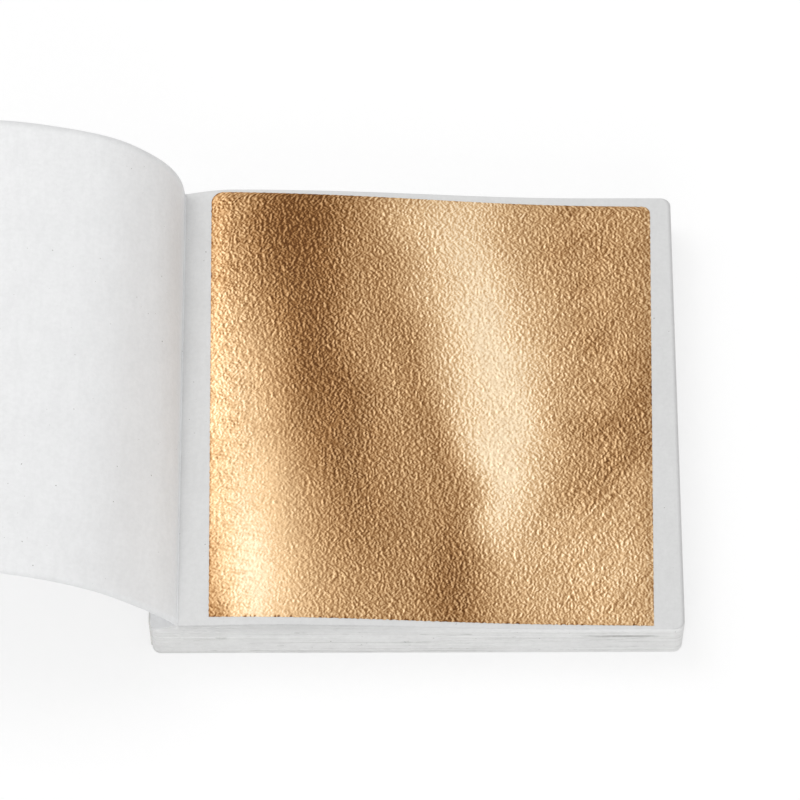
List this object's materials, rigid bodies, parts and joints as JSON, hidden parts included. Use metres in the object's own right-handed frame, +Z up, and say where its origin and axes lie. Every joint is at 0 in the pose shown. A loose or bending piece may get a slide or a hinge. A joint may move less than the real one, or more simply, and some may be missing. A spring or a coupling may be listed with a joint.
{
  "type": "gold leaf booklet",
  "caption": "Pad of thin paper pages bound at the left edge, its first page turned back and a bare crinkled gold leaf lying on the next page.",
  "frame": {"origin": "centre of the stack's underside", "axes": "+X from the bound spine to the fore edge, +Y from the near edge to the far edge, +Z up from the face the booklet rests on"},
  "size_m": [0.1699, 0.0918, 0.0378],
  "materials": {
    "page_paper": "matte",
    "gold_leaf": "satin",
    "binding_glue": "matte"
  },
  "bodies": {
    "booklet": {"stack_pages_01": "page_paper", "stack_pages_02": "page_paper", "stack_pages_03": "page_paper", "stack_pages_04": "page_paper", "stack_pages_05": "page_paper", "stack_pages_06": "page_paper", "stack_pages_07": "page_paper", "stack_pages_08": "page_paper", "stack_pages_09": "page_paper", "stack_pages_10": "page_paper", "stack_pages_11": "page_paper", "stack_leaves_01": "gold_leaf", "stack_leaves_02": "gold_leaf", "stack_leaves_03": "gold_leaf", "stack_leaves_04": "gold_leaf", "stack_leaves_05": "gold_leaf", "stack_leaves_06": "gold_leaf", "stack_leaves_07": "gold_leaf", "stack_leaves_08": "gold_leaf", "stack_leaves_09": "gold_leaf", "stack_leaves_10": "gold_leaf", "stack_leaves_11": "gold_leaf", "lifted_page_01": "page_paper", "lifted_page_02": "page_paper", "lifted_page_03": "page_paper", "lifted_page_04": "page_paper", "lifted_page_05": "page_paper", "lifted_page_06": "page_paper", "lifted_page_07": "page_paper", "lifted_page_08": "page_paper", "lifted_page_09": "page_paper", "lifted_page_10": "page_paper", "lifted_page_11": "page_paper", "lifted_leaves": "gold_leaf", "carrier_page": "page_paper", "turned_page_margin": "page_paper", "spine_glue": "binding_glue"},
    "exposed_leaf": {"exposed_leaf": "gold_leaf"},
    "turned_page_01": {"turned_page_strip_01": "page_paper"},
    "turned_page_02": {"turned_page_strip_02": "page_paper"},
    "turned_page_03": {"turned_page_strip_03": "page_paper"},
    "turned_page_04": {"turned_page_strip_04": "page_paper"},
    "turned_page_05": {"turned_page_strip_05": "page_paper"},
    "turned_page_06": {"turned_page_strip_06": "page_paper"}
  },
  "joints": [
    {"name": "page_turn", "type": "hinge", "parent": "booklet", "child": "turned_page_01", "pos_m": [-0.0425, -0.0435, 0.01204], "axis": [0, 1, 0], "range_deg": [-7.4, 76]},
    {"name": "page_curl_01", "type": "hinge", "parent": "turned_page_01", "child": "turned_page_02", "pos_m": [-0.04262, -0.0435, 0.01275], "axis": [-0.0183, 0.9939, 0.1092], "range_deg": [-4.41, 45.2]},
    {"name": "page_curl_02", "type": "hinge", "parent": "turned_page_02", "child": "turned_page_03", "pos_m": [-0.05092, -0.04331, 0.02289], "axis": [0.0058, 0.9968, 0.0801], "range_deg": [-3.07, 31.51]},
    {"name": "page_curl_03", "type": "hinge", "parent": "turned_page_03", "child": "turned_page_04", "pos_m": [-0.06508, -0.04268, 0.031], "axis": [0.0666, 0.9967, 0.0455], "range_deg": [-2.27, 23.31]},
    {"name": "page_curl_04", "type": "hinge", "parent": "turned_page_04", "child": "turned_page_05", "pos_m": [-0.08491, -0.04143, 0.03407], "axis": [0.09, 0.9951, 0.0419], "range_deg": [-1.59, 16.31]},
    {"name": "page_curl_05", "type": "hinge", "parent": "turned_page_05", "child": "turned_page_06", "pos_m": [-0.1044, -0.03996, 0.03126], "axis": [0.09, 0.9951, 0.0419], "range_deg": [-1.06, 10.8]},
    {"name": "leaf_lift", "type": "slide", "parent": "booklet", "child": "exposed_leaf", "axis": [0, 0, 1], "range_m": [0, 0.03]}
  ],
  "couplings": [
    {"joint": "page_curl_01", "follows": "page_turn", "ratio": 0.5947},
    {"joint": "page_curl_02", "follows": "page_turn", "ratio": 0.4145},
    {"joint": "page_curl_03", "follows": "page_turn", "ratio": 0.3066},
    {"joint": "page_curl_04", "follows": "page_turn", "ratio": 0.2145},
    {"joint": "page_curl_05", "follows": "page_turn", "ratio": 0.1421}
  ]
}
